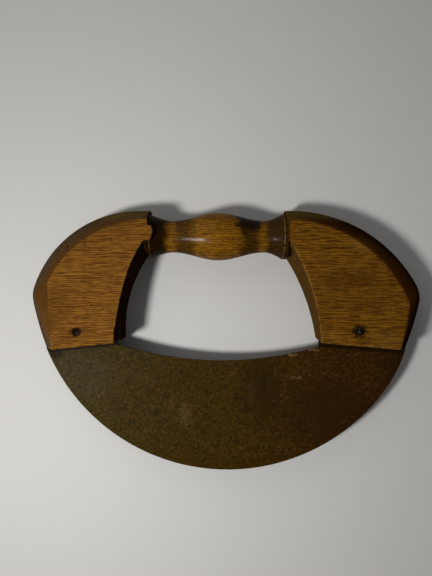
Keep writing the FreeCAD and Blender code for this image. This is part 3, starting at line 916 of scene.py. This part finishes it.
class CHOPPER_OT_arms(bpy.types.Operator):
    """Models the two worn wooden arms"""
    bl_idname = "chopper.arms"
    bl_label = "Make Arms"

    def execute(self, context):
        arms = context.scene.chopper.arms
        marks = self.marks(arms)
        for seed, side in enumerate(SIDES, start=ARM_SEED):
            rivet = centre(RIVET_BOXES[side])
            low, high = settings_of(arms, side, "inner_low", "inner_high")
            looks = settings_of(arms, side, "light", "dark", "sawn", "rim", "band", "low_band", "stain")
            piece = copied_node(side + "_arm", side + "_board")
            finish_with(piece, "REMESH", mode="VOXEL", voxel_size=arms.cell)
            soft = self.softness(points_of(piece), low, high, arms.inner_height, rivet)
            wear = WEAR_MEAN + WEAR_SWING * ripple(points_of(piece), WEAR_SPACING, seed)
            worn = np.clip(wear, 0, 1) * (WEAR_LEAST + (1 - WEAR_LEAST) * soft)
            group = weigh(piece, "wear", worn)
            finish_with(piece, "SMOOTH", factor=SMOOTHING, iterations=arms.rounding, vertex_group=group)
            if side == "right":
                self.wear_corner(piece, arms.right_corner)
            else:
                self.fill_hollow(piece, arms, rivet)
            roughen(piece, arms.wave, ARM_WAVE_SPACING, seed)
            knock(piece, arms.dents, arms.dent_depth, seed)
            beyond_nose = np.abs(points_of(piece)[:, 0]) - abs(high)
            sharp = (1 - soft) * ramp(beyond_nose, *NOSE_FADE)
            mark_edges(piece, *ARM_EDGES, sharp)
            material = arm_material(side.title() + " arm wood", looks, arms, rivet, marks[side])
            dress(piece, side + "_arm", material)
        return {"FINISHED"}

    def marks(self, arms):
        """Colour, middle, reach and amount of each patch on the arms' faces."""
        return {
            "left": (
                (arms.left_dark, in_mm(-98, 22), in_mm(15, 20), 0.40),
                (arms.left_dark, in_mm(-60, 67), in_mm(12, 6), 0.35),
                (arms.left_band, in_mm(-80, 36), in_mm(5, 3.5), 0.45),
                (arms.left_band, in_mm(-100, 12), in_mm(5, 3.5), 0.45),
            ),
            "right": (
                (arms.right_dark, in_mm(68, 36), in_mm(24, 10), 0.50),
                (arms.right_dark, in_mm(80, 22), in_mm(18, 7), 0.35),
                (arms.worn, in_mm(82, 58), in_mm(14, 7), 0.26),
                (arms.worn, in_mm(62, 4), in_mm(7, 4), 0.22),
                (arms.worn, in_mm(92, 2), in_mm(14, 6), 0.16),
                # This strip in the stain colour, on the right arm's end next to the grip, is painted shade
                # in the gap between the grip and the arm
                (arms.stain, in_mm(35.3, 63), in_mm(1.6, 24), 0.85),
            ),
        }

    def softness(self, points, low, high, height, rivet):
        """1 where a rounded rim turns into a flat face, 0 at the sawn edges, the kerf and the rivet."""
        x, y, z = points.T
        outward = np.abs(x) - np.abs(low + (high - low) * y / height)
        from_rivet = np.hypot(x - rivet[0], y - rivet[1])
        soft = ramp(outward, *SAWN_FADE) * ramp(y, *BOTTOM_FADE)
        return soft * ramp(np.abs(z - rivet[2]), *KERF_FADE) * ramp(from_rivet, *RIVET_FADE)

    def wear_corner(self, piece, depth):
        """Pulls the lower outer corner of the right arm in."""
        points = points_of(piece)
        x, y, _ = points.T
        points[:, 0] -= depth * ramp(x, *CORNER_X) * ramp(y, *CORNER_Y)
        set_points(piece, points)

    def fill_hollow(self, piece, arms, rivet):
        """Makes the left arm's inner edge less hollow on the front face."""
        points = points_of(piece)
        x, y, z = points.T
        part = y / arms.inner_height
        chord = arms.left_inner_low + (arms.left_inner_high - arms.left_inner_low) * part
        rise = np.clip(1 - ((part - FILL_PEAK) / FILL_SPREAD) ** 2, 0, 1) ** 2
        near = ramp(chord - x, *FILL_FADE)
        front = ramp(z, rivet[2], ARM_BOXES["left"][1].z)
        points[:, 0] += arms.left_fill * rise * near * front
        set_points(piece, points)


class CHOPPER_OT_grip(bpy.types.Operator):
    """Turns the grip from its outline"""
    bl_idname = "chopper.grip"
    bl_label = "Make Grip"

    def execute(self, context):
        grip = context.scene.chopper.grip
        mesh = bpy.data.meshes.new("turned_grip")
        outline = [(x, GRIP_AXIS_Y + radius, GRIP_AXIS_Z) for x, radius in self.outline(grip)]
        mesh.from_pydata(outline, [(i, i + 1) for i in range(len(outline) - 1)], [])
        piece = bpy.data.objects.new("turned_grip", mesh)
        context.scene.collection.objects.link(piece)

        def spin():
            bpy.ops.mesh.spin(steps=grip.turns, angle=math.tau, center=(0, GRIP_AXIS_Y, GRIP_AXIS_Z),
                              axis=(1, 0, 0))
            bpy.ops.mesh.select_all(action="SELECT")

        in_edit_mode(piece, spin, merge, face_outwards)
        roughen(piece, grip.wave, GRIP_WAVE_SPACING, GRIP_SEED)
        knock(piece, grip.dents, grip.dent_depth, GRIP_SEED)
        along = points_of(piece)[:, 0]
        from_rim = np.minimum(np.abs(along - grip.left_seat - grip.left_land),
                              np.abs(along - grip.right_seat + grip.right_land))
        mark_edges(piece, *GRIP_EDGES, ramp(from_rim, *GRIP_RIM_FADE))
        dress(piece, "handle", grip_material(grip))
        return {"FINISHED"}

    def outline(self, grip):
        """Points (x, radius) of the turning from the left tenon to the right one."""
        left_rim = grip.left_seat + grip.left_land
        right_rim = grip.right_seat - grip.right_land
        left_neck = left_rim + grip.left_neck
        right_neck = right_rim - grip.right_neck
        half = (right_neck - left_neck) / 2
        edge = grip.broken_edge
        points = [(GRIP_BOX[0].x, 0.0), (GRIP_BOX[0].x, grip.tenon), (grip.left_seat, grip.tenon),
                  (grip.left_seat, grip.left_end - edge), (grip.left_seat + edge, grip.left_end)]
        for part in np.linspace(1, 0, FLARE_POINTS)[:-1]:
            swell = (grip.left_end - grip.neck) * part ** grip.flare
            points.append((left_neck - grip.left_neck * part, grip.neck + swell))
        for part in np.linspace(-1, 1, BELLY_POINTS):
            swell = (grip.belly - grip.neck) * (1 + math.cos(math.pi * part)) / 2
            points.append((left_neck + half * (part + 1), grip.neck + swell))
        for part in np.linspace(0, 1, FLARE_POINTS)[1:]:
            swell = (grip.right_end - grip.neck) * part ** grip.flare
            points.append((right_neck + grip.right_neck * part, grip.neck + swell))
        for part in np.linspace(0, 1, RIM_POINTS)[1:]:
            points.append((right_rim + (grip.right_land - edge) * part, grip.right_end))
        points += [(grip.right_seat, grip.right_end - edge), (grip.right_seat, grip.tenon),
                   (GRIP_BOX[1].x, grip.tenon), (GRIP_BOX[1].x, 0.0)]
        return points


class CHOPPER_OT_blade(bpy.types.Operator):
    """Forges the crescent blade from a grid of faces"""
    bl_idname = "chopper.blade"
    bl_label = "Make Blade"

    def execute(self, context):
        blade = context.scene.chopper.blade
        bpy.ops.object.select_all(action="DESELECT")
        bpy.ops.mesh.primitive_grid_add(x_subdivisions=blade.columns, y_subdivisions=blade.rows, size=1.0)
        piece = context.active_object
        piece.name = "forged_blade"
        points = points_of(piece)
        across = points[:, 0] + 0.5
        up = points[:, 1] + 0.5
        edge = np.array([self.edge_point(blade, part) for part in across])
        back = np.array([self.back_point(blade, part) for part in across])
        depth = np.linalg.norm(back - edge, axis=1)
        inward = (back - edge) / depth[:, None]
        from_edge = depth * up ** ROW_CROWDING
        chips = np.clip(flat_ripple(edge, NICK_SPACING, NICK_SEED) - NICK_LEVEL, 0, 1)
        nicked = blade.nick * chips * (up == 0)
        flat = edge + inward * (from_edge + nicked)[:, None]
        bent = blade.wave * flat_ripple(flat, BEND_SPACING, BEND_SEED) * ramp(flat[:, 1], *BEND_Y)
        set_points(piece, np.column_stack((flat, BLADE_MIDDLE_Z + bent)))
        thin = blade.land / BLADE_THICKNESS
        weights = np.clip(thin + (1 - thin) * from_edge / blade.bevel, thin, 1)
        group = weigh(piece, "thickness", weights)
        finish_with(piece, "SOLIDIFY", thickness=BLADE_THICKNESS - 2 * blade.wave, offset=0.0,
                    vertex_group=group)
        for box in RIVET_BOXES.values():
            self.drill(piece, centre(box), blade.hole)
        dress(piece, "blade", blade_material(blade))
        only(piece)
        bpy.ops.object.shade_smooth_by_angle(angle=SHARP_ANGLE)
        return {"FINISHED"}

    def drill(self, piece, place, radius):
        """Cuts a round hole through the plate."""
        bpy.ops.mesh.primitive_cylinder_add(vertices=HOLE_SIDES, radius=radius, depth=DRILL_LENGTH,
                                            location=place)
        cutter = bpy.context.active_object
        finish_with(piece, "BOOLEAN", object=cutter, operation="DIFFERENCE", solver="EXACT")
        bpy.data.objects.remove(cutter)

    def edge_point(self, blade, part):
        """Point of the cutting edge, from its left end at 0 to its right end at 1."""
        drop = blade.edge_y - blade.ends_y
        start = math.pi + math.asin(drop / blade.edge_radius)
        turn = start + (3 * math.pi - 2 * start) * part
        ground = blade.right_tip * ramp(part, TIP_START, 1.0) ** 2
        return (blade.edge_x + blade.edge_radius * math.cos(turn) - ground,
                blade.edge_y + blade.edge_radius * math.sin(turn))

    def back_point(self, blade, part):
        """Point of the blade's back edge: the spine, and the tangs in their kerfs."""
        x = blade.edge_x + blade.tang_reach * (2 * part - 1)
        if blade.left_tang < x < blade.right_tang:
            sag = math.sqrt(blade.spine_radius ** 2 - (x - blade.spine_x) ** 2)
            return x, blade.spine_y + blade.spine_radius - sag
        return x, blade.tang_top


class CHOPPER_OT_rivets(bpy.types.Operator):
    """Peens the two iron rivets"""
    bl_idname = "chopper.rivets"
    bl_label = "Make Rivets"

    def execute(self, context):
        rivets = context.scene.chopper.rivets
        for seed, side in enumerate(SIDES, start=RIVET_SEED):
            piece = copied_node(side + "_rivet", side + "_peened_rivet")
            finish_with(piece, "REMESH", mode="VOXEL", voxel_size=rivets.cell)
            finish_with(piece, "SMOOTH", factor=SMOOTHING, iterations=RIVET_ROUNDING)
            roughen(piece, rivets.hammer, HAMMER_SPACING, seed)
            mark_edges(piece, *RIVET_EDGES)
            iron = getattr(rivets, side + "_iron")
            material = rivet_material(side.title() + " rivet iron", rivets, iron)
            dress(piece, side + "_rivet", material)
        return {"FINISHED"}


class CHOPPER_OT_stage(bpy.types.Operator):
    """Lays the floor and sets the lamps and the camera"""
    bl_idname = "chopper.stage"
    bl_label = "Set Stage"

    def execute(self, context):
        stage = context.scene.chopper.stage
        bpy.ops.object.select_all(action="DESELECT")
        bpy.ops.mesh.primitive_plane_add(size=stage.floor_size)
        floor = context.active_object
        floor.name = "floor"
        material, _, surface = new_material("Plain floor")
        surface["Base Color"].default_value = opaque(stage.floor)
        set_plain(surface, FLOOR_PLAIN)
        floor.data.materials.append(material)
        self.set_light(context, stage)
        self.set_camera(context, stage)
        context.scene.view_settings.view_transform = "Standard"
        return {"FINISHED"}

    def set_light(self, context, stage):
        """Even white light from all round, a key lamp and a weak fill lamp."""
        world = bpy.data.worlds.new("Even light")
        world.use_nodes = True
        background = world.node_tree.nodes["Background"]
        background.inputs["Color"].default_value = (1.0, 1.0, 1.0, 1.0)
        background.inputs["Strength"].default_value = stage.ambient
        context.scene.world = world
        for name in ("key", "fill"):
            place = Vector(settings_of(stage, name, "x", "y", "z"))
            power, size, aim = settings_of(stage, name, "power", "size", "aim")
            self.add_lamp(context, name.title(), place, power, size, aim)

    def add_lamp(self, context, name, place, power, size, aim):
        """A square lamp that faces a point on the floor, aim to the right of the middle."""
        lamp = bpy.data.lights.new(name, "AREA")
        lamp.energy = power
        lamp.size = size
        made = bpy.data.objects.new(name, lamp)
        made.location = place
        made.rotation_euler = (place - Vector((aim, 0, 0))).to_track_quat("Z", "Y").to_euler()
        context.scene.collection.objects.link(made)

    def set_camera(self, context, stage):
        """A camera that looks straight down."""
        lens = bpy.data.cameras.new("Camera")
        lens.lens = stage.lens
        lens.clip_start = NEAREST
        camera = bpy.data.objects.new("Camera", lens)
        camera.location = settings_of(stage, "camera", "x", "y", "z")
        context.scene.collection.objects.link(camera)
        context.scene.camera = camera


class CHOPPER_PT_panel(bpy.types.Panel):
    """Lists the knife's pieces and their settings"""
    bl_idname = "CHOPPER_PT_panel"
    bl_label = "Chopping Knife"
    bl_space_type = "VIEW_3D"
    bl_region_type = "UI"
    bl_category = "Chopper"

    def draw(self, context):
        settings = context.scene.chopper
        for name in STEPS:
            group = getattr(settings, name)
            box = self.layout.box()
            box.operator("chopper." + name)
            for key in group.__annotations__:
                box.prop(group, key)


STEPS = ("blade", "arms", "grip", "rivets", "stage")
CLASSES = (
    ArmSettings, GripSettings, BladeSettings, RivetSettings, StageSettings, ChopperSettings,
    CHOPPER_OT_arms, CHOPPER_OT_grip, CHOPPER_OT_blade, CHOPPER_OT_rivets, CHOPPER_OT_stage,
    CHOPPER_PT_panel,
)


def register():
    for item in CLASSES:
        bpy.utils.register_class(item)
    bpy.types.Scene.chopper = PointerProperty(type=ChopperSettings)


def unregister():
    del bpy.types.Scene.chopper
    for item in reversed(CLASSES):
        bpy.utils.unregister_class(item)


def main():
    """Makes the knife and its stage."""
    register()
    bpy.ops.chopper.blade()
    bpy.ops.chopper.arms()
    bpy.ops.chopper.grip()
    bpy.ops.chopper.rivets()
    bpy.ops.chopper.stage()


if __name__ == "__main__":
    main()
